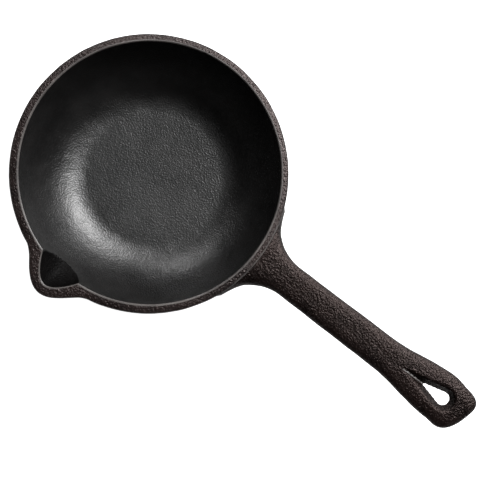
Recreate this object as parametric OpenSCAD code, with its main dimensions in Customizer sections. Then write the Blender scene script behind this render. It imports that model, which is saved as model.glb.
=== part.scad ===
// Small cast iron skillet: a deep round bowl with one pouring spout, and a long
// handle that ends in a teardrop hanging loop. The real pan is a single casting.
// Each module below makes one region of that casting as its own closed solid, and
// neighbouring regions meet face to face on a shared plane, cylinder or wall face.
// Millimetres. Origin at the centre of the base, +X along the handle, +Z up.

/* [Bowl] */
// Outside diameter across the rim
rim_d = 141; // [120:1:170]
// Height of the rim above the table
pan_h = 41.5; // [34:0.5:52]
// Diameter of the flat cooking floor
floor_d = 70; // [56:1:84]
// How much further out the flat underside runs than the cooking floor
base_margin = 2; // [0:0.5:6]
// Thickness of the iron in the floor
floor_t = 4.5; // [3.5:0.1:6]
// Width of the iron across the top of the rim
rim_w = 4.6; // [3.6:0.1:5.6]
// Height of the straight wall that is left between the bowl's curve and the rim's top
wall_h = 2.5; // [1:0.5:8]
// Lean of that straight wall away from upright, in degrees
wall_draft = 8; // [4:1:12]

/* [Rim] */
// Depth of the rim band
rim_h = 6; // [4:0.5:8]
// Radius on the rim's outer edge
rim_round = 1.8; // [1:0.1:2]
// Width of the ground bevel on the rim's inner edge
rim_bevel = 0.4; // [0.2:0.1:0.8]
// Width of the level land next to that bevel
rim_land = 0.8; // [0.5:0.1:1.5]
// Outward fall of the rim's top from the land to its rounded edge, in degrees
rim_fall = 10; // [0:1:15]

/* [Pouring spout] */
// Direction of the spout, in degrees round from the handle
spout_turn = -96; // [-120:0.5:-60]
// Distance that the lip stands out past the rim
spout_reach = 11.3; // [8:0.1:13]
// Half of the angle that the spout's outside takes up on the rim
spout_spread = 18; // [15:0.5:22]
// Height over which the spout's outside fades into the wall
spout_fade = 25; // [20:1:30]
// Half of the angle that the pouring channel takes up on the rim
channel_spread = 10.7; // [8:0.1:12]
// Depth of the pouring channel below the rim
channel_depth = 13; // [9:0.5:15]
// Roundness of the channel's tip, as a share of its half angle
channel_nose = 0.45; // [0.2:0.05:0.6]
// How much thicker the iron is at the tip of the spout than round the rim
lip_extra = 0.4; // [0:0.1:1]

/* [Handle] */
// Distance from the bowl's centre to the end of the handle
handle_reach = 200; // [165:1:240]
// Width of the grip next to the neck
grip_w = 17.2; // [15:0.1:22]
// Width of the grip where the loop begins
grip_end_w = 17.8; // [15:0.1:24]
// Thickness of the grip
grip_t = 8; // [7:0.1:11]
// How round the grip's section is: 2 is an oval, more is squarer
grip_power = 3; // [2:0.1:5]
// Step from the rim down to the top of the neck
neck_step = 1.2; // [0.5:0.1:3]
// Plan radius of the flare between the rim and the grip
neck_flare = 25; // [18:1:32]
// Extra depth of the neck where it meets the wall
neck_web = 9; // [5:0.5:12]
// Rise of the handle from its neck to its loop
handle_rise = 6; // [0:0.5:12]

/* [Hanging loop] */
// Greatest width of the loop
loop_w = 25.6; // [22:0.1:31]
// Length of the widening and of the loop together
loop_l = 54; // [48:0.5:62]
// Length of the loop's rounded end
loop_end = 17.5; // [14:0.5:22]
// Length of the teardrop recess
tear_l = 31; // [26:0.5:36]
// Width of the teardrop recess at the handle's surface
tear_w = 12.4; // [10:0.1:14]
// Iron left between the recess and the end of the handle
tear_margin = 10; // [7:0.5:12]
// Length of the hole at half thickness
hole_l = 15; // [12:0.5:18]
// Width of the hole at half thickness
hole_w = 6.4; // [5:0.1:8]
// Step in from the recess's round end to the hole's round end
hole_margin = 2.8; // [2:0.1:4]

/* [Hidden] */
iron = "#2b2827";

rim_r = rim_d / 2;                    // outside radius of the rim
mouth_r = rim_r - rim_w;              // inside radius of the rim
floor_r = floor_d / 2;
base_r = floor_r + base_margin;
depth = pan_h - floor_t;              // inside depth of the bowl
curve_h = depth - wall_h;             // inside height of the bowl's curve
rim_z = pan_h - rim_h;                // where the rim band begins
spout_z = pan_h - spout_fade;         // where the spout begins
curve_steps = 18;                     // facets up the lower curve
wall_steps = 12;                      // facets up the wall
rim_rows = 4;                         // facets up the rim's outer face
spout_rows = 16;                      // facets up the spout
spout_columns = 36;                   // facets round the spout
round_steps = 5;                      // facets on the rim's outer edge
section_points = 32;                  // points round a handle section
lap = 1;                              // how far a cutter runs past what it cuts

function smooth(t) = let (u = min(max(t, 0), 1)) u * u * (3 - 2 * u);
function bell(t) = abs(t) >= 1 ? 0 : (1 + cos(180 * t)) / 2;

// ---- Bowl -------------------------------------------------------------------

// Distance from the axis of a bowl face at height z above its own flat floor: a
// quarter oval that turns level floor into wall, leaned outward by wall_draft.
function face_r(z, flat_r, run, rise) = flat_r + z * tan(wall_draft)
    + run * sqrt(1 - pow(max(1 - z / rise, 0), 2));

function outer_r(z) = face_r(z, base_r, rim_r - base_r - pan_h * tan(wall_draft),
    curve_h + floor_t);
function inner_r(z) = face_r(z - floor_t, floor_r,
    mouth_r - floor_r - depth * tan(wall_draft), curve_h);

// Heights that crowd towards the floor, where the face turns fastest.
function heights(z0, z1, n) = [for (i = [0:n]) z0 + (z1 - z0) * pow(i / n, 2)];
function spaced(a, b, n) = [for (i = [0:n]) a + (b - a) * i / n];
function reversed(list) = [for (i = [len(list) - 1:-1:0]) list[i]];

curve_outside = [for (z = heights(0, spout_z, curve_steps)) [outer_r(z), z]];
curve_inside = [for (z = heights(floor_t, spout_z, curve_steps)) [inner_r(z), z]];
wall_outside = [for (z = spaced(spout_z, rim_z, wall_steps)) [outer_r(z), z]];
wall_inside = [for (z = spaced(spout_z, rim_z, wall_steps)) [inner_r(z), z]];

module cooking_floor() {
    color(iron) cylinder(r = floor_r, h = floor_t, $fn = 180);
}

module bowl_curve() {
    color(iron) rotate_extrude($fn = 180)
        polygon(concat([[floor_r, 0]], curve_outside, reversed(curve_inside)));
}

// Turns a section round the bowl from one side of the spout to the other.
module round_to_spout() {
    rotate([0, 0, spout_turn + spout_spread])
        rotate_extrude(angle = 360 - 2 * spout_spread, $fn = 180) children();
}

module side_wall() {
    color(iron) round_to_spout() polygon(concat(wall_outside, reversed(wall_inside)));
}

// The rounding joins the upright flank to the sloping top. This is its centre's height.
land_r = mouth_r + rim_bevel + rim_land;
round_z = pan_h - (rim_r - rim_round - land_r) * tan(rim_fall) - rim_round / cos(rim_fall);

// The outside of the wall from height z0 to where the rim's rounding begins.
function rim_flank(z0, n) = [for (i = [0:n]) let (z = z0 + (round_z - z0) * i / n)
    [outer_r(z), z]];

// The rim's section from height z0 to the top, outside and then inside, both listed
// upwards with the same number of points so that they pair off across the iron.
function rim_outside(z0, n) = concat(rim_flank(z0, n),
    [for (i = [1:round_steps])
        let (a = (90 - rim_fall) * i / round_steps, z = round_z + rim_round * sin(a))
        [outer_r(z) - rim_round * (1 - cos(a)), z]],
    [[land_r, pan_h]]);
function rim_inside(z0, n) = concat(
    [for (i = [0:n + round_steps])
        let (z = z0 + (pan_h - rim_bevel - z0) * i / (n + round_steps)) [inner_r(z), z]],
    [[mouth_r + rim_bevel, pan_h]]);

module rim() {
    color(iron) round_to_spout()
        polygon(concat(rim_outside(rim_z, rim_rows), reversed(rim_inside(rim_z, rim_rows))));
}

// ---- Pouring spout ----------------------------------------------------------

// How far the spout's outside stands out from the wall, at angle a off the spout's
// centre line and depth d below the rim.
function swell(a, d) = spout_reach * bell(a / spout_spread)
    * bell(pow(max(d, 0) / spout_fade, 0.9));

// How far the channel is hollowed into the spout. Its plan is a wedge with a rounded
// tip, which shrinks with depth so that the channel has the shape of a scoop.
channel_reach = spout_reach - lip_extra;
function wedge(t) = abs(t) >= 1 ? 0 : channel_reach
    * (sqrt(1 + pow(channel_nose, 2)) - sqrt(t * t + pow(channel_nose, 2)))
    / (sqrt(1 + pow(channel_nose, 2)) - channel_nose);
function hollow(a, d) = d >= channel_depth ? 0 :
    let (s = sqrt(1 - pow(d / channel_depth, 2))) s * wedge(a / channel_spread / s);

function spout_section(a) = let (turn = spout_turn + a) concat(
    [for (p = rim_outside(spout_z, spout_rows)) let (r = p[0] + swell(a, pan_h - p[1]))
        [r * cos(turn), r * sin(turn), p[1]]],
    [for (p = rim_inside(spout_z, spout_rows)) let (r = p[0] + hollow(a, pan_h - p[1]))
        [r * cos(turn), r * sin(turn), p[1]]]);

module pouring_spout() {
    k = spout_rows + round_steps + 2;     // points up each side of a section
    m = 2 * k;                            // points in a section
    last = spout_columns * m;
    points = [for (i = [0:spout_columns])
        each spout_section(spout_spread * (2 * i / spout_columns - 1))];
    skin = [for (i = [0:spout_columns - 1], j = [0:k - 2], side = [0, k])
        let (a = i * m + side + j, b = a + m)
        each side == 0 ? [[a, a + 1, b + 1], [a, b + 1, b]]
                       : [[a, b + 1, a + 1], [a, b, b + 1]]];
    edges = [for (i = [0:spout_columns - 1], j = [0, k - 1])
        let (a = i * m + j, b = a + m, c = a + k, d = b + k)
        each j == 0 ? [[a, b, d], [a, d, c]] : [[a, d, b], [a, c, d]]];
    ends = [for (j = [0:k - 2], e = [0, last])
        let (a = e + j, c = a + k)
        each e == 0 ? [[a, c, c + 1], [a, c + 1, a + 1]]
                    : [[a, c + 1, c], [a, a + 1, c + 1]]];
    color(iron) polyhedron(points, concat(skin, edges, ends), convexity = 6);
}

// ---- Handle -----------------------------------------------------------------

tip_blunt = 2.4;                          // half width of the blunt end
end_power = 2.5;                          // squareness of the end: 2 is an oval
end_share = 0.55;                         // share of grip_t that is left at the very end
web_power = 2.2;                          // how late the neck deepens towards the wall
wall_bite = 8;                            // how far inside the rim the neck's sections start
tear_lap = 0.2;                           // how far the teardrop cutter clears the faces
flare_y = grip_w / 2 + neck_flare;        // centre of the flare's arc
flare_x = sqrt(pow(rim_r + neck_flare, 2) - pow(flare_y, 2));
flare_start = flare_x * rim_r / (rim_r + neck_flare);
neck_x = flare_x + 1;                     // where the neck gives way to the grip
loop_x = handle_reach - loop_l;           // where the grip gives way to the loop
widest_x = handle_reach - loop_end;

function flare_w(x) = x >= flare_x ? 0 : neck_flare
    - sqrt(pow(neck_flare, 2) - pow(flare_x - max(x, flare_start), 2));
function widening_w(x) = (loop_w - grip_end_w) / 2
    * smooth((x - loop_x) / (widest_x - loop_x));
function grip_half_w(x) = let (t = min(max((x - neck_x) / (loop_x - neck_x), 0), 1))
    (grip_w + (grip_end_w - grip_w) * t) / 2;
function end_w(t) = pow(max(1 - pow(max(t, 0), end_power), 0), 1 / end_power);
function half_w(x) = max(tip_blunt, flare_w(x)
    + (grip_half_w(x) + widening_w(x)) * end_w((x - widest_x) / loop_end));

// The handle leaves the rim level, climbs along the grip and is level again at the loop.
function top_z(x) = pan_h - neck_step
    + handle_rise * smooth((x - rim_r) / (widest_x - rim_r));
function end_loss(x) = grip_t * (1 - end_share)
    * (1 - end_w((x - handle_reach) * 2 / grip_t + 1));
function thickness(x) = let (web = max(neck_x - x, 0) / (neck_x - rim_r + rim_w))
    grip_t - end_loss(x) + neck_web * pow(min(web, 1), web_power);
function middle_z(x) = top_z(x) - (end_loss(x) + thickness(x)) / 2;

function power(v, p) = sign(v) * pow(abs(v), p);
function handle_section(x) = [for (i = [0:section_points - 1])
    let (a = 360 * (i + 0.5) / section_points, p = 2 / grip_power)
    [x, half_w(x) * power(cos(a), p), middle_z(x) + thickness(x) / 2 * power(sin(a), p)]];

// A solid through the handle's sections at the places listed in xs.
module loft(xs) {
    m = section_points;
    last = (len(xs) - 1) * m;
    points = [for (x = xs) each handle_section(x)];
    skin = [for (i = [0:len(xs) - 2], j = [0:m - 1])
        let (a = i * m + j, b = i * m + (j + 1) % m)
        each [[a, b + m, b], [a, a + m, b + m]]];
    polyhedron(points, concat([[for (j = [0:m - 1]) j]], skin,
        [[for (j = [m - 1:-1:0]) last + j]]), convexity = 4);
}

module handle_neck() {
    color(iron) difference() {
        loft(spaced(rim_r - wall_bite, neck_x, 16));
        rotate_extrude($fn = 180) polygon(concat([[0, -lap], [base_r, -lap]],
            curve_outside, wall_outside, rim_flank(rim_z, rim_rows),
            [[rim_r, pan_h], [rim_r, pan_h + lap], [0, pan_h + lap]]));
    }
}

module handle_grip() {
    color(iron) loft(spaced(neck_x, loop_x, 10));
}

// A teardrop outline at height z: round at x1, with its point on the bowl's side.
drop_steps = 24;
function drop(x1, w, l, z) = let (r = w / 2, tail = l - r, turn = 180 - acos(r / tail))
    concat([[x1 - l, 0, z]], [for (i = [0:drop_steps])
        let (a = turn * (2 * i / drop_steps - 1)) [x1 - r + r * cos(a), r * sin(a), z]]);

// The cutter for the hanging hole: a teardrop that narrows to half thickness.
module teardrop() {
    x1 = handle_reach - tear_margin;
    mid_z = middle_z(x1 - tear_w / 2);
    reach = grip_t / 2 + tear_lap;
    m = drop_steps + 2;
    points = concat(drop(x1, tear_w, tear_l, mid_z - reach),
        drop(x1 - hole_margin, hole_w, hole_l, mid_z),
        drop(x1, tear_w, tear_l, mid_z + reach));
    skin = [for (i = [0, 1], j = [0:m - 1]) let (a = i * m + j, b = i * m + (j + 1) % m)
        each [[a, b + m, b], [a, a + m, b + m]]];
    polyhedron(points, concat([[for (j = [0:m - 1]) j]], skin,
        [[for (j = [m - 1:-1:0]) 2 * m + j]]), convexity = 4);
}

module hanging_loop() {
    color(iron) difference() {
        loft(concat(spaced(loop_x, widest_x, 10),
            [for (i = [1:12]) widest_x + loop_end * sin(90 * i / 12)]));
        teardrop();
    }
}

cooking_floor();
bowl_curve();
side_wall();
rim();
pouring_spout();
handle_neck();
handle_grip();
hanging_loop();
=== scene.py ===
# A small cast iron skillet: one iron casting, shown bare and seasoned. It is built here
# region by region, in the order in which a pattern maker would lay it out: the bowl's
# floor, curve and wall, the rim, the pouring spout and the handle. Lengths are in metres.
import math
import bmesh
import bpy
import numpy as np
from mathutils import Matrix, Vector, noise


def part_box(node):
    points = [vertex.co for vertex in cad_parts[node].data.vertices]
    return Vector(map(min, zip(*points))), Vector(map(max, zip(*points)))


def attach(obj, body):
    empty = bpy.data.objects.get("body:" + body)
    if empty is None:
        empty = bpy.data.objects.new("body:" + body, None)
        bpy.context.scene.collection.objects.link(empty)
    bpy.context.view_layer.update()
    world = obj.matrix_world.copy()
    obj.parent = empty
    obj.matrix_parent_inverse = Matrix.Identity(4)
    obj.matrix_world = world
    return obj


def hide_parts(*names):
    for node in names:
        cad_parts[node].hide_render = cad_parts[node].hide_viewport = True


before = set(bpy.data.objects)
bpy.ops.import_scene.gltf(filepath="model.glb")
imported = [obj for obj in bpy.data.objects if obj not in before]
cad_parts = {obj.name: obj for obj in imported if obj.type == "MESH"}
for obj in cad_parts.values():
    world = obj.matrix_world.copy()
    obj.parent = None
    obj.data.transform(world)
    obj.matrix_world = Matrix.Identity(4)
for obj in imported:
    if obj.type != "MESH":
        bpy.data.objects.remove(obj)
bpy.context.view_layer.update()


# ---- Cooking floor, bowl curve and side wall ------------------------------------------
# The bowl is turned in shape: a level floor, a deep curve and a short steep wall, in grey
# iron about 4 mm thick. A smooth core formed the inside, and plain sand the outside. It
# was poured with the rim and spout, so one net of points shapes them all without a step.

MM = 0.001
floor_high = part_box("cooking_floor")[1]
rim_low, rim_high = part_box("rim")
FLOOR_R = floor_high.x
FLOOR_T = floor_high.z
PAN_H = rim_high.z
RIM_R = -rim_low.x
RIM_Z = rim_low.z
SPOUT_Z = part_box("pouring_spout")[0].z
BASE_R = FLOOR_R + 2 * MM          # the flat underside
RIM_W = 4.6 * MM                   # width of the rim
MOUTH_R = RIM_R - RIM_W
WALL_H = 2.5 * MM                  # straight wall above the curve
DRAFT = math.tan(math.radians(8))  # lean of that wall
SHIFT = 0.8 * MM                   # the core sat this far off centre in the mould
SHIFT_TURN = math.radians(67)
DISH = 0.45 * MM                   # how far the cooking floor sank as the iron shrank

BEVEL = 0.4 * MM                   # ground inner edge of the rim
LAND = 0.45 * MM                   # ground level land next to it
CROWN_FALL = math.radians(10)      # outward fall of the rim's top
ROUND = 1.8 * MM                   # rounding of the rim's outer edge
FILLET_STEPS = 7

SPOUT_TURN = math.radians(-96)
SPOUT_SPREAD = math.radians(18)
SPOUT_REACH = 11.3 * MM
CHANNEL_SPREAD = math.radians(10.7)
CHANNEL_REACH = 10.9 * MM
CHANNEL_DEPTH = 13 * MM
CHANNEL_NOSE = 0.45


def smooth(t):
    """A rise from 0 to 1 with smooth ends."""
    u = np.clip(t, 0, 1)
    return u * u * (3 - 2 * u)


def bell(t):
    """A bump that is 1 in the middle and falls smoothly to 0 at -1 and 1."""
    return np.where(np.abs(t) < 1, 0.5 + 0.5 * np.cos(np.pi * np.clip(t, -1, 1)), 0)


def face_r(z, flat_r, run, rise):
    """Radius of a bowl face at height z above its own flat floor."""
    return flat_r + z * DRAFT + run * np.sqrt(1 - np.maximum(1 - z / rise, 0) ** 2)


def outer_r(z):
    return face_r(z, BASE_R, RIM_R - BASE_R - PAN_H * DRAFT, PAN_H - WALL_H)


def inner_r(z):
    depth = PAN_H - FLOOR_T
    run = MOUTH_R - FLOOR_R - depth * DRAFT
    return face_r(np.maximum(z - FLOOR_T, 0), FLOOR_R, run, depth - WALL_H)


def swell(turn, depth):
    """How far the spout's outside stands out from the wall."""
    fade = np.maximum(depth, 0) / (PAN_H - SPOUT_Z)
    return SPOUT_REACH * bell(turn / SPOUT_SPREAD) * bell(fade ** 0.9)


def hollow(turn, depth):
    """How far the pouring channel is scooped out of the wall."""
    s = np.sqrt(np.maximum(1 - (depth / CHANNEL_DEPTH) ** 2, 1e-9))
    t = turn / CHANNEL_SPREAD / s
    full = math.hypot(1, CHANNEL_NOSE)
    wedge = (full - np.sqrt(t * t + CHANNEL_NOSE ** 2)) / (full - CHANNEL_NOSE)
    return CHANNEL_REACH * s * np.maximum(wedge, 0)


def heights(z0, z1, n):
    """Heights that crowd towards z0, where a bowl face turns fastest."""
    return z0 + (z1 - z0) * (np.arange(n + 1) / n) ** 2


def between(a, b, n):
    """The n even steps after a, the last of them at b."""
    return a + (b - a) * np.arange(1, n + 1) / n


# The bowl's section, as rows of (radius, height) that run out along the inside, over the
# rim and back in under the base. A row that two regions share is noted as it is laid.
FLOOR_ROWS = 12                    # rows across the floor, and so on in each stretch
CURVE_ROWS = 26
WALL_ROWS = 26
BEVEL_ROWS = 8
CROWN_ROWS = 4
BAND_ROWS = 5
OUTER_WALL_ROWS = 22
OUTER_CURVE_ROWS = 24
BASE_ROWS = 6
rows = []
inside = []


def lay(radii, levels, is_inside):
    """Adds rows to the section and gives the number of the last one."""
    for r, z in zip(np.broadcast_to(radii, np.shape(levels)), levels):
        rows.append((float(r), float(z)))
        inside.append(is_inside)
    return len(rows) - 1


r = np.linspace(0, FLOOR_R, FLOOR_ROWS + 1)[:-1]
lay(r, FLOOR_T - DISH * bell(r / FLOOR_R), True)
floor_in = lay([FLOOR_R], [FLOOR_T], True)
z = heights(FLOOR_T, SPOUT_Z, CURVE_ROWS)[1:]
spout_in = lay(inner_r(z), z, True)
z = between(SPOUT_Z, RIM_Z, WALL_ROWS)
band_in = lay(inner_r(z), z, True)
z = between(RIM_Z, PAN_H - BEVEL, BEVEL_ROWS)
bevel_row = lay(inner_r(z), z, True)
lay([MOUTH_R + BEVEL], [PAN_H], True)
land_r = MOUTH_R + BEVEL + LAND
land_row = lay([land_r], [PAN_H], True)
crown_r = RIM_R - ROUND
round_z = PAN_H - (crown_r - land_r) * math.tan(CROWN_FALL) - ROUND / math.cos(CROWN_FALL)
turns = np.linspace(math.pi / 2 - CROWN_FALL, 0, FILLET_STEPS)
z = round_z + ROUND * np.sin(turns)
r = outer_r(z) - ROUND * (1 - np.cos(turns))
crown = between(land_r, r[0], CROWN_ROWS)[:-1]
crown_row = lay(crown, PAN_H - (crown - land_r) * math.tan(CROWN_FALL), False)
lay(r, z, False)
z = between(round_z, RIM_Z, BAND_ROWS)
band_out = lay(outer_r(z), z, False)
z = between(RIM_Z, SPOUT_Z, OUTER_WALL_ROWS)
spout_out = lay(outer_r(z), z, False)
z = heights(0, SPOUT_Z, OUTER_CURVE_ROWS)[::-1][1:]
lay(outer_r(z), z, False)
floor_out = lay([FLOOR_R], [0], False)
lay(np.linspace(FLOOR_R, 0, BASE_ROWS + 1)[1:], np.zeros(BASE_ROWS), False)
rows = np.array(rows)
inside = np.array(inside)

# Columns round the bowl: fine through the spout, coarser round the rest. Each row is
# pushed out by the spout's swelling or channel, and the inside by the core's shift.
SPOUT_COLUMNS = 100
REST_COLUMNS = 280
columns = np.concatenate([
    np.linspace(SPOUT_TURN - SPOUT_SPREAD, SPOUT_TURN + SPOUT_SPREAD, SPOUT_COLUMNS + 1),
    np.linspace(SPOUT_TURN + SPOUT_SPREAD, SPOUT_TURN - SPOUT_SPREAD + 2 * math.pi,
                REST_COLUMNS + 1)[1:-1]])
off_spout = columns - SPOUT_TURN
off_spout = (off_spout + math.pi) % (2 * math.pi) - math.pi

r = np.repeat(rows[:, :1], len(columns), 1)
z = np.repeat(rows[:, 1:], len(columns), 1)
depth = PAN_H - z
turn = np.broadcast_to(off_spout, r.shape)
in_shift = SHIFT * np.cos(columns - SHIFT_TURN) * smooth((z - SPOUT_Z) / (RIM_Z - SPOUT_Z))
r = r + np.where(inside[:, None], hollow(turn, depth) + in_shift, swell(turn, depth))
net = np.stack([r * np.cos(columns), r * np.sin(columns), z], -1)


def waviness(point):
    """Slow unevenness that the sand mould leaves in a cast face, from -1 to 1."""
    p = Vector(point)
    return 0.7 * noise.noise(p / (9 * MM)) + 0.4 * noise.noise(p / (3.5 * MM))


WAVE = 0.16 * MM                   # height of that unevenness
FLOOR_WAVE = 0.4                   # share of it on the cooking floor
EDGE_WAVE = 0.25                   # and on the ground edge
across = np.roll(net, -1, 1) - np.roll(net, 1, 1)
along = np.gradient(net, axis=0)
normal = np.cross(along, across)
normal /= np.maximum(np.linalg.norm(normal, axis=-1, keepdims=True), 1e-12)
amount = np.array([waviness(p) for p in net.reshape(-1, 3)]).reshape(net.shape[:2])
held = np.ones(len(rows))
held[:floor_in] = FLOOR_WAVE
held[bevel_row:land_row + 1] = EDGE_WAVE
held[floor_out - 1:] = 0           # the base is level
held[[0, -1]] = 0
net = net + normal * (amount * WAVE * held[:, None])[..., None]


def cast_piece(name, mask):
    """A closed piece from the cells of the net that mask picks, with its cuts filled.
    Each face takes the material that finish gives for its cell."""
    n_rows, n_cols = net.shape[:2]
    index = np.arange(n_rows * n_cols).reshape(n_rows, n_cols)
    right = np.roll(index, -1, 1)
    faces = []
    for i, j in zip(*np.nonzero(mask)):
        faces.append((index[i, j], index[i + 1, j], right[i + 1, j], right[i, j]))
    materials = list(finish[mask])
    for low, high in ((floor_in, floor_out), (spout_in, spout_out), (band_in, band_out)):
        for j in np.nonzero(mask[low - 1] != mask[low])[0]:
            faces.append((index[low, j], right[low, j], right[high, j], index[high, j]))
    for j in range(n_cols):
        cells = np.nonzero(mask[:, j - 1] != mask[:, j])[0]
        if len(cells):
            edge = sorted(set(cells) | set(cells + 1))
            faces.append(tuple(index[i, j] for i in edge))
    used = sorted(set(i for face in faces for i in face))
    order = {old: new for new, old in enumerate(used)}
    mesh = bpy.data.meshes.new(name)
    mesh.from_pydata(net.reshape(-1, 3)[used], [], [[order[i] for i in f] for f in faces])
    materials += [CAST] * (len(faces) - len(materials))
    mesh.polygons.foreach_set("material_index", materials)
    return finished(name, mesh)


SHARP = math.radians(38)           # a steeper edge than this is left sharp


def finished(name, mesh):
    """Welds a mesh, turns its faces outward, shades it smooth and links its object."""
    bm = bmesh.new()
    bm.from_mesh(mesh)
    bmesh.ops.remove_doubles(bm, verts=bm.verts, dist=0.002 * MM)
    bmesh.ops.dissolve_degenerate(bm, edges=bm.edges, dist=0.001 * MM)
    bmesh.ops.recalc_face_normals(bm, faces=bm.faces)
    bm.to_mesh(mesh)
    bm.free()
    mesh.shade_smooth()
    mesh.set_sharp_from_angle(angle=SHARP)
    piece = bpy.data.objects.new(name, mesh)
    bpy.context.scene.collection.objects.link(piece)
    return piece


cell_rows = np.arange(len(rows) - 1)[:, None]
cell_cols = np.arange(len(columns))[None, :]
in_sector = cell_cols < SPOUT_COLUMNS
in_floor = (cell_rows < floor_in) | (cell_rows >= floor_out)
in_band = (cell_rows >= band_in) & (cell_rows < band_out)
in_upper = (cell_rows >= spout_in) & (cell_rows < spout_out)
everywhere = np.ones((len(rows) - 1, len(columns)), bool)

# Four finishes: the inside, the cast outside, the ground edge and the spout's channel, which
# is painted dull black as shade.
# In front of the neck the outer corner of the rim takes the ground edge's lighter iron too,
# as a painted highlight.
NECK_ARC = 0.27                    # half the angle of that painted highlight, in radians
SCOOPED = 0.25 * MM                # least depth that counts as the channel
SMOOTH, CAST, GROUND_AND_HIGHLIGHT, CHANNEL = range(4)
finish = np.where(cell_rows < bevel_row, SMOOTH, np.where(cell_rows < land_row, GROUND_AND_HIGHLIGHT, CAST))
finish = finish + 0 * cell_cols
scooped = hollow(off_spout[None, :], PAN_H - rows[:, 1:]) > SCOOPED
in_channel = scooped[:-1] | scooped[1:]
# Painted shade: the channel's cells take the dull black channel iron.
finish[(finish == SMOOTH) & in_channel & (cell_rows > spout_in)] = CHANNEL
at_neck = np.minimum(columns % (2 * math.pi), -columns % (2 * math.pi)) < NECK_ARC
painted_highlight_corner = (cell_rows > crown_row + 1) & (cell_rows <= crown_row + 3)
# Painted highlight: the rim's outer corner in front of the neck takes the lighter iron.
finish[painted_highlight_corner & at_neck[None, :]] = GROUND_AND_HIGHLIGHT


# Seasoned iron: a coat of baked oil over the grain that the moulding sand left in it.

def node_group(name, inputs, outputs):
    """An empty shader group with float inputs and outputs of the kinds given."""
    group = bpy.data.node_groups.new(name, "ShaderNodeTree")
    for label, value in inputs:
        socket = group.interface.new_socket(label, in_out="INPUT",
                                            socket_type="NodeSocketFloat")
        socket.default_value = value
    for label, kind in outputs:
        group.interface.new_socket(label, in_out="OUTPUT", socket_type=kind)
    return group


def add(tree, kind, **settings):
    """A node of that kind, with its properties and its input sockets set by name."""
    node = tree.nodes.new(kind)
    for key, value in settings.items():
        if hasattr(node, key):
            setattr(node, key, value)
        else:
            node.inputs[key.replace("_", " ")].default_value = value
    return node


def maths(tree, operation, a, b=None, clamp=False):
    """A Math node on links or numbers, giving its output socket."""
    node = tree.nodes.new("ShaderNodeMath")
    node.operation = operation
    node.use_clamp = clamp
    for socket, value in zip(node.inputs, (a, b)):
        if isinstance(value, bpy.types.NodeSocket):
            tree.links.new(value, socket)
        elif value is not None:
            socket.default_value = value
    return node.outputs[0]


def spread(tree, value, low, high, out_low=0.0, out_high=1.0):
    """Maps low..high onto out_low..out_high, with smooth ends."""
    node = tree.nodes.new("ShaderNodeMapRange")
    node.interpolation_type = "SMOOTHSTEP"
    tree.links.new(value, node.inputs["Value"])
    for label, number in (("From Min", low), ("From Max", high),
                          ("To Min", out_low), ("To Max", out_high)):
        node.inputs[label].default_value = number
    return node.outputs[0]


def sand_grain_group():
    """Pebbly sand-cast relief. Grain is the size of a pebble in millimetres."""
    group = node_group("sand_grain", [("Grain", 1.2), ("Fine", 0.5), ("Pits", 0.3)],
                       [("Height", "NodeSocketFloat"), ("Crest", "NodeSocketFloat"),
                        ("Tone", "NodeSocketFloat")])
    n = group.nodes
    links = group.links
    given = n.new("NodeGroupInput")
    out = n.new("NodeGroupOutput")
    place = n.new("ShaderNodeTexCoord")
    in_mm = add(group, "ShaderNodeVectorMath", operation="SCALE")
    links.new(place.outputs["Object"], in_mm.inputs[0])
    in_mm.inputs["Scale"].default_value = 1000
    per_grain = maths(group, "DIVIDE", 1.0, given.outputs["Grain"])

    def noise_at(scale, detail, rough=0.55):
        node = add(group, "ShaderNodeTexNoise", Detail=detail, Roughness=rough)
        links.new(in_mm.outputs[0], node.inputs["Vector"])
        if isinstance(scale, bpy.types.NodeSocket):
            links.new(scale, node.inputs["Scale"])
        else:
            node.inputs["Scale"].default_value = scale
        return node

    # The pebbles are pushed about, so that they don't lie in rows.
    push = add(group, "ShaderNodeVectorMath", operation="MULTIPLY_ADD")
    links.new(noise_at(0.9, 1).outputs["Color"], push.inputs[0])
    push.inputs[1].default_value = (0.7, 0.7, 0.7)
    links.new(in_mm.outputs[0], push.inputs[2])
    pebble = add(group, "ShaderNodeTexVoronoi", feature="SMOOTH_F1", Smoothness=0.6)
    links.new(push.outputs[0], pebble.inputs["Vector"])
    links.new(per_grain, pebble.inputs["Scale"])
    bump = spread(group, pebble.outputs["Distance"], 0.1, 0.75, 1.0, 0.0)
    soft = noise_at(maths(group, "MULTIPLY", per_grain, 1.1), 2).outputs[0]
    fine = noise_at(maths(group, "MULTIPLY", per_grain, 3.2), 3, 0.65).outputs[0]
    pit = spread(group, noise_at(maths(group, "MULTIPLY", per_grain, 0.55), 1).outputs[0],
                 0.66, 0.78)
    height = maths(group, "ADD", maths(group, "MULTIPLY", bump, 0.55),
                   maths(group, "MULTIPLY", soft, 0.7))
    height = maths(group, "ADD", height,
                   maths(group, "MULTIPLY", fine, given.outputs["Fine"]))
    height = maths(group, "SUBTRACT", height,
                   maths(group, "MULTIPLY", pit, given.outputs["Pits"]))
    links.new(height, out.inputs["Height"])
    links.new(spread(group, height, 0.85, 1.25), out.inputs["Crest"])
    links.new(noise_at(0.07, 4, 0.6).outputs[0], out.inputs["Tone"])
    return group


sand_grain = sand_grain_group()
CREST_COLOUR = 0.6                 # share of the colour that follows the grain's crests
CREST_POLISH = 0.08                # how much smoother a crest is worn
PATCH_DULLNESS = 0.16              # how much rougher the oil's thick patches are


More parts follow.
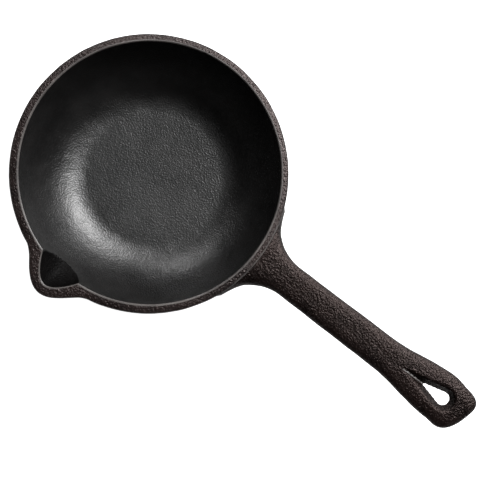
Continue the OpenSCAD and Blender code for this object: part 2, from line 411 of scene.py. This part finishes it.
def iron(name, dark, light, grain, depth, roughness, fine=0.5, pits=0.3, gloss=0.5,
         tint=(1, 1, 1)):
    """Seasoned cast iron: dark in its hollows, light, browner and shinier on its crests.
    Grain is in millimetres, and depth is the height of the grain."""
    material = bpy.data.materials.new(name)
    material.use_nodes = True
    tree = material.node_tree
    shader = tree.nodes["Principled BSDF"]
    shader.inputs["Specular IOR Level"].default_value = gloss
    shader.inputs["Specular Tint"].default_value = (*tint, 1)
    relief = tree.nodes.new("ShaderNodeGroup")
    relief.node_tree = sand_grain
    for label, value in (("Grain", grain), ("Fine", fine), ("Pits", pits)):
        relief.inputs[label].default_value = value
    mix = tree.nodes.new("ShaderNodeMix")
    mix.data_type = "RGBA"
    mix.inputs["A"].default_value = (*dark, 1)
    mix.inputs["B"].default_value = (*light, 1)
    by_crest = maths(tree, "MULTIPLY", relief.outputs["Crest"], CREST_COLOUR)
    patches = spread(tree, relief.outputs["Tone"], 0.35, 0.65)
    by_patch = maths(tree, "MULTIPLY", patches, 1 - CREST_COLOUR)
    share = maths(tree, "ADD", by_crest, by_patch, clamp=True)
    tree.links.new(share, mix.inputs["Factor"])
    tree.links.new(mix.outputs["Result"], shader.inputs["Base Color"])
    worn = maths(tree, "MULTIPLY", relief.outputs["Crest"], CREST_POLISH)
    dull = maths(tree, "MULTIPLY", relief.outputs["Tone"], PATCH_DULLNESS)
    rough = maths(tree, "ADD", dull, maths(tree, "SUBTRACT", roughness, worn))
    tree.links.new(rough, shader.inputs["Roughness"])
    bump = add(tree, "ShaderNodeBump", Strength=1.0, Distance=depth)
    tree.links.new(relief.outputs["Height"], bump.inputs["Height"])
    tree.links.new(bump.outputs["Normal"], shader.inputs["Normal"])
    return material


inside_iron = iron("inside_iron", (0.002, 0.0019, 0.0019), (0.006, 0.0056, 0.0055),
                   grain=0.8, depth=0.12 * MM, roughness=0.3)
outside_iron = iron("outside_iron", (0.002, 0.0014, 0.0013), (0.012, 0.0076, 0.007),
                    grain=1.05, depth=0.3 * MM, roughness=0.27, pits=0.4, gloss=0.3,
                    tint=(1, 0.86, 0.84))


def give(piece, node, slot, *materials):
    """The piece stands for its CAD node, rides with the pan and takes its materials."""
    for material in materials:
        piece.data.materials.append(material)
    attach(piece, "root")
    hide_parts(node)


cooking_floor = cast_piece("cooking_floor_iron", everywhere & in_floor)
bowl_curve = cast_piece("bowl_curve_iron", everywhere & ~in_floor & ~in_upper)
side_wall = cast_piece("side_wall_iron", everywhere & in_upper & ~in_band & ~in_sector)
for piece, node in ((cooking_floor, "cooking_floor"), (bowl_curve, "bowl_curve"),
                    (side_wall, "side_wall")):
    give(piece, node, "bare_iron_inside", inside_iron, outside_iron)


# ---- Rim ------------------------------------------------------------------------------
# The thick top band of the casting. Its top keeps the coarse sand grain. Its inner edge
# was ground clean, so a thin line of brighter metal runs all round and through the spout.

# Lighter iron for the ground inner edge and the flash line. In front of the neck it is a
# painted highlight.
ground_and_highlight_iron = iron("ground_and_highlight_iron", (0.025, 0.022, 0.021), (0.075, 0.067, 0.063),
                   grain=0.8, depth=0.05 * MM, roughness=0.4)
rim = cast_piece("rim_iron_band", everywhere & in_band & ~in_sector)
give(rim, "rim", "bare_iron_outside", inside_iron, outside_iron, ground_and_highlight_iron)


# ---- Pouring spout --------------------------------------------------------------------
# The wall and rim swell out on one side, cast in one with the bowl, and a channel is
# scooped into them. The channel is painted a dull black, as painted shade.

# Painted shade: a blacker, duller iron that darkens the spout's channel.
painted_shade_channel_iron = iron("painted_shade_channel_iron", (0.001, 0.0009, 0.0009), (0.003, 0.0027, 0.0027),
                    grain=1.0, depth=0.26 * MM, roughness=0.4, gloss=0.03)
spout = cast_piece("pouring_spout_iron", everywhere & in_upper & in_sector)
give(spout, "pouring_spout", "bare_iron_outside", inside_iron, outside_iron, ground_and_highlight_iron,
     painted_shade_channel_iron)


# ---- Neck, grip and hanging loop ------------------------------------------------------
# The handle is cast in one with the bowl: a neck that flares into the wall, a crowned
# grip and a wide end with a bevelled teardrop hole. Its faces blend as a sand mould
# blends them, so one skin is drawn round the whole handle and cut into the three.

loop_low, loop_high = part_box("hanging_loop")
NECK_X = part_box("handle_neck")[1].x
LOOP_X = loop_low.x
END_X = loop_high.x
GRIP_W = 17.2 * MM
GRIP_END_W = 17.8 * MM
GRIP_T = 8 * MM
LOOP_W = 25.6 * MM
LOOP_END = 17.5 * MM
WIDEST_X = END_X - LOOP_END
FLARE = 25 * MM
FLARE_Y = GRIP_W / 2 + FLARE
FLARE_X = math.sqrt((RIM_R + FLARE) ** 2 - FLARE_Y ** 2)
FLARE_START = FLARE_X * RIM_R / (RIM_R + FLARE)
NECK_WEB = 9 * MM                  # extra thickness where the neck meets the wall
WEB_CURVE = 2.2                    # how suddenly that thickness comes in
WEB_REACH = 4.2 * MM               # how far it goes on under the rim
NECK_STEP = 1.2 * MM               # the neck's top lies this far below the rim's
NECK_TOP = PAN_H - NECK_STEP
RISE = loop_high.z - NECK_TOP
END_SKEW = 0.26                    # the end was fettled a little out of square
END_LEAN = 1.2 * MM                # and the loop leans a little to one side
LEAN_L = 10 * MM
END_TRIM = 0.9 * MM                # room for the skewed corner inside the full reach
TEAR_L, TEAR_W, TEAR_END = 31 * MM, 12.4 * MM, END_X - 10 * MM
HOLE_L, HOLE_W, HOLE_END = 15 * MM, 6.4 * MM, END_X - 12.8 * MM

CROWN_POWER = 3                    # roundness of the handle's section
TEAR_EDGE = 0.8 * MM               # rounding of the recess's edge
TEAR_SLOPE = 0.8                   # the recess's side leans, so plan distance is long
TEAR_TIP = 0.25 * MM
ROOT_GAP = 0.12 * MM               # the root lies this far inside the wall's face
ROOT_T = 2 * MM                    # and goes this deep into the wall
ROOT_HALF_W = 27 * MM
ROOT_LOW = 18 * MM
ROOT_X = 60 * MM
ROOT_TOP = PAN_H - 3.5 * MM
FILLET = 5 * MM                    # fillet between the handle and the wall
TOP_FILLET = 0.4 * MM              # which all but goes at the step below the rim


def handle_half_width(x):
    sweep = FLARE_X - np.clip(x, FLARE_START, FLARE_X)
    flare = FLARE - np.sqrt(FLARE ** 2 - sweep ** 2)
    grip = np.clip((x - NECK_X) / (LOOP_X - NECK_X), 0, 1)
    widening = smooth((x - LOOP_X) / (WIDEST_X - LOOP_X))
    return flare + (GRIP_W + (GRIP_END_W - GRIP_W) * grip
                    + (LOOP_W - GRIP_END_W) * widening) / 2


def handle_top(x):
    return NECK_TOP + RISE * smooth((x - RIM_R) / (WIDEST_X - RIM_R))


def handle_thickness(x):
    web = np.clip((NECK_X - x) / (NECK_X - RIM_R + WEB_REACH), 0, 1)
    return GRIP_T + NECK_WEB * web ** WEB_CURVE


def blend_min(a, b, k):
    """The union of two distances, with a fillet of about k."""
    h = np.maximum(k - np.abs(a - b), 0) / k
    return np.minimum(a, b) - h * h * k / 4


def drop_distance(x, y, end, length, width):
    """Distance to a teardrop outline in plan, round at end and pointed at the bowl."""
    r = width / 2
    span = length - r - TEAR_TIP
    b = (r - TEAR_TIP) / span
    a = np.sqrt(1 - b * b)
    u = end - r - x
    v = np.abs(y)
    k = a * u - b * v
    side = a * v + b * u - r
    blunt = np.hypot(u, v) - r
    sharp = np.hypot(u - span, v) - TEAR_TIP
    return np.where(k < 0, blunt, np.where(k > a * span, sharp, side))


def handle_distance(x, y, z):
    """Roughly the distance to the handle's skin, negative inside the iron."""
    skew = END_SKEW * y * smooth((x - WIDEST_X) / LOOP_END)
    past = np.maximum(x - skew - WIDEST_X, 0) / (END_X - END_TRIM - WIDEST_X)
    w = handle_half_width(x) - END_LEAN * np.sign(y) * smooth((x - WIDEST_X) / LEAN_L)
    t = handle_thickness(x) / 2
    mid = handle_top(x) - t
    lift = np.abs(z - mid) / t
    size = past ** CROWN_POWER + np.abs(y / w) ** CROWN_POWER + lift ** CROWN_POWER
    body = (size ** (1 / CROWN_POWER) - 1) * np.minimum(w, t)
    cut = drop_distance(x, y, HOLE_END + (TEAR_END - HOLE_END) * lift,
                        HOLE_L + (TEAR_L - HOLE_L) * lift,
                        HOLE_W + (TEAR_W - HOLE_W) * lift) * TEAR_SLOPE
    body = -blend_min(-body, cut, TEAR_EDGE)
    wall = np.hypot(x, y) - outer_r(np.clip(z, 0, PAN_H)) + ROOT_GAP
    root = np.maximum(wall, z - ROOT_TOP)
    for edge in (np.abs(y) - ROOT_HALF_W, ROOT_LOW - z, ROOT_X - x):
        root = np.maximum(root, edge)
    low = smooth((NECK_TOP - 1 * MM - z) / FILLET)
    joined = blend_min(body, root, TOP_FILLET + (FILLET - TOP_FILLET) * low)
    return np.maximum(joined, -(wall + ROOT_T))


def slope_of(distance, points, reach):
    """The change of distance along x, y and z at each point."""
    return np.stack([(distance(*(points + d).T) - distance(*(points - d).T)) / (2 * reach)
                     for d in np.eye(3) * reach], -1)


def skin_mesh(distance, low, high, step):
    """A quad mesh on the zero set of distance inside a box. Each cell of a grid that the
    skin crosses gets a point, which is then drawn onto the skin in three passes."""
    axes = [np.arange(a, b + step, step) for a, b in zip(low, high)]
    field = distance(*np.meshgrid(*axes, indexing="ij"))
    shell = np.pad(field, 1, constant_values=step)
    axes = [np.concatenate([[a[0] - step], a, [a[-1] + step]]) for a in axes]
    solid = shell < 0
    total = np.zeros([n - 1 for n in shell.shape] + [3])
    count = np.zeros([n - 1 for n in shell.shape])
    crossed = []
    for axis in range(3):
        first = [slice(None)] * 3
        second = [slice(None)] * 3
        first[axis], second[axis] = slice(None, -1), slice(1, None)
        a, b = shell[tuple(first)], shell[tuple(second)]
        change = (a < 0) != (b < 0)
        share = np.where(change, a / np.where(a == b, 1, a - b), 0)
        crossed.append((change, solid[tuple(first)]))
        others = [d for d in range(3) if d != axis]
        for p in (0, 1):
            for q in (0, 1):
                pick = [slice(None)] * 3
                pick[others[0]] = slice(p, shell.shape[others[0]] - 1 + p)
                pick[others[1]] = slice(q, shell.shape[others[1]] - 1 + q)
                hit = change[tuple(pick)]
                corner = np.zeros(hit.shape + (3,))
                corner[..., axis] = share[tuple(pick)]
                corner[..., others[0]] = p
                corner[..., others[1]] = q
                total += corner * hit[..., None]
                count += hit
    cells = np.argwhere(count > 0)
    where = np.full(count.shape, -1)
    where[tuple(cells.T)] = np.arange(len(cells))
    start = np.array([a[0] for a in axes])
    spot = total[tuple(cells.T)] / count[tuple(cells.T)][:, None]
    points = start + (cells + spot) * step
    for _ in range(3):
        slope = slope_of(distance, points, step / 5)
        size = np.maximum((slope ** 2).sum(1), 0.05)
        points -= np.clip(distance(*points.T) / size, -step, step)[:, None] * slope
    faces = []
    for axis, (change, from_solid) in enumerate(crossed):
        o1, o2 = (axis + 1) % 3, (axis + 2) % 3
        at = np.argwhere(change)
        at = at[(at[:, o1] > 0) & (at[:, o2] > 0)]
        e1, e2 = np.eye(3, dtype=int)[o1], np.eye(3, dtype=int)[o2]
        quad = [where[tuple((at - a * e1 - b * e2).T)]
                for a, b in ((1, 1), (0, 1), (0, 0), (1, 0))]
        quad = np.stack(quad, -1)
        flip = ~from_solid[tuple(at.T)]
        quad[flip] = quad[flip][:, ::-1]
        faces.append(quad)
    return points, np.concatenate(faces)


SKIN_STEP = 0.6 * MM
SKIN_LOW = (58.4 * MM, -29 * MM, 16.4 * MM)
SKIN_HIGH = (END_X + 2 * MM, 29 * MM, loop_high.z + 2 * MM)
CALM = 3 * MM                      # the handle's unevenness grows over this from the rim
points, faces = skin_mesh(handle_distance, SKIN_LOW, SKIN_HIGH, SKIN_STEP)
held = smooth((np.hypot(points[:, 0], points[:, 1]) - RIM_R) / CALM)
wave = np.array([waviness(p) for p in points]) * WAVE * held
slope = slope_of(handle_distance, points, 0.1 * MM)
slope /= np.maximum(np.linalg.norm(slope, axis=1, keepdims=True), 1e-9)
points = points + slope * wave[:, None]
handle_mesh = bpy.data.meshes.new("handle")
handle_mesh.from_pydata(points, [], faces)


def cut_piece(name, mesh, low_x, high_x):
    """The stretch of a mesh between two planes across the handle, with closed ends."""
    bm = bmesh.new()
    bm.from_mesh(mesh)
    for x, side in ((low_x, -1), (high_x, 1)):
        if x is not None:
            everything = bm.verts[:] + bm.edges[:] + bm.faces[:]
            bmesh.ops.bisect_plane(bm, geom=everything, plane_co=(x, 0, 0),
                                   plane_no=(side, 0, 0), clear_outer=True)
    bmesh.ops.holes_fill(bm, edges=[e for e in bm.edges if e.is_boundary])
    part = bpy.data.meshes.new(name)
    bm.to_mesh(part)
    bm.free()
    return finished(name, part)


handle_iron = iron("handle_iron", (0.0015, 0.001, 0.0009), (0.007, 0.0042, 0.0037),
                   grain=1.05, depth=0.3 * MM, roughness=0.22, pits=0.5, gloss=0.15,
                   tint=(1, 0.8, 0.76))
neck = cut_piece("handle_neck_iron", handle_mesh, None, NECK_X)
grip = cut_piece("handle_grip_iron", handle_mesh, NECK_X, LOOP_X)
loop = cut_piece("hanging_loop_iron", handle_mesh, LOOP_X, None)

# A line of flash from the mould's joint shows bright in the bottom of the recess.
FLASH_START = TEAR_END - TEAR_L
FLASH_END = HOLE_END - HOLE_L + 1 * MM
FLASH_LEFT, FLASH_RIGHT = -0.45 * MM, 0.1 * MM
for face in loop.data.polygons:
    x, y, z = face.center
    on_top = z > handle_top(x) - GRIP_T / 2
    if on_top and FLASH_START < x < FLASH_END and FLASH_LEFT < y < FLASH_RIGHT:
        face.material_index = 1

give(neck, "handle_neck", "bare_iron_outside", handle_iron)
give(grip, "handle_grip", "bare_iron_outside", handle_iron)
give(loop, "hanging_loop", "bare_iron_outside", handle_iron, ground_and_highlight_iron)


# ---- Floor, lights and camera ---------------------------------------------------------
# A plain pale floor under the pan. A broad soft light stands beyond the bowl, with three
# weak ones round it. The camera looks straight down on the middle of the whole pan.

VIEW_TURN = math.radians(37.4)     # how far the view is turned from the handle's line
VIEW_CENTRE = Vector((56.3, 1.4, 0)) * MM
VIEW_HEIGHT = 547.5 * MM           # the camera's height above the rim

FLOOR_SIZE = 3
FLOOR_CENTRE = (0.05, 0, 0)
bpy.ops.mesh.primitive_plane_add(size=FLOOR_SIZE, location=FLOOR_CENTRE)
ground = bpy.context.object
ground.name = "floor"
paper = bpy.data.materials.new("pale_floor")
paper.use_nodes = True
tree = paper.node_tree
shader = tree.nodes["Principled BSDF"]
shader.inputs["Roughness"].default_value = 0.9
shader.inputs["Specular IOR Level"].default_value = 0.1
shader.inputs["Base Color"].default_value = (0.5, 0.5, 0.5, 1)
path = tree.nodes.new("ShaderNodeLightPath")
tree.links.new(path.outputs["Is Camera Ray"], shader.inputs["Emission Strength"])
shader.inputs["Emission Color"].default_value = (1, 1, 1, 1)
ground.data.materials.append(paper)


AIM = Vector((0, 0, 30)) * MM      # the point that every light faces


def view_direction(turn, zenith):
    """A direction from the bowl, by its angle in the view and its angle from upright."""
    a = math.radians(turn) + VIEW_TURN
    b = math.radians(zenith)
    return Vector((math.cos(a) * math.sin(b), math.sin(a) * math.sin(b), math.cos(b)))


def soft_light(name, turn, zenith, distance, size, power):
    """A round soft light that faces the middle of the bowl."""
    lamp = bpy.data.lights.new(name, "AREA")
    lamp.shape = "DISK"
    lamp.size = size
    lamp.energy = power
    holder = bpy.data.objects.new(name, lamp)
    way = view_direction(turn, zenith)
    holder.location = AIM + way * distance
    holder.rotation_euler = way.to_track_quat("Z", "Y").to_euler()
    bpy.context.scene.collection.objects.link(holder)


soft_light("key", turn=37, zenith=41, distance=4, size=1.8, power=450)
soft_light("low_side", turn=38, zenith=80, distance=1.2, size=0.4, power=10)
soft_light("overhead", turn=215, zenith=14, distance=1.2, size=0.4, power=0.9)
soft_light("rear_fill", turn=112, zenith=64, distance=1.2, size=0.3, power=8)

world = bpy.data.worlds.new("studio")
bpy.context.scene.world = world
world.use_nodes = True
tree = world.node_tree
path = tree.nodes.new("ShaderNodeLightPath")
AMBIENT = 0.004                    # faint light from all round, behind a white ground
seen = spread(tree, path.outputs["Is Camera Ray"], 0, 1, AMBIENT, 1)
tree.nodes["Background"].inputs["Color"].default_value = (1, 1, 1, 1)
tree.links.new(seen, tree.nodes["Background"].inputs["Strength"])

lens = bpy.data.cameras.new("camera")
lens.sensor_width = 36
lens.lens = 82.5
lens.clip_start = 0.01
camera = bpy.data.objects.new("camera", lens)
camera.location = VIEW_CENTRE + Vector((0, 0, PAN_H + VIEW_HEIGHT))
camera.rotation_euler = (0, 0, VIEW_TURN)
bpy.context.scene.collection.objects.link(camera)
bpy.context.scene.camera = camera
bpy.context.scene.view_settings.view_transform = "Standard"
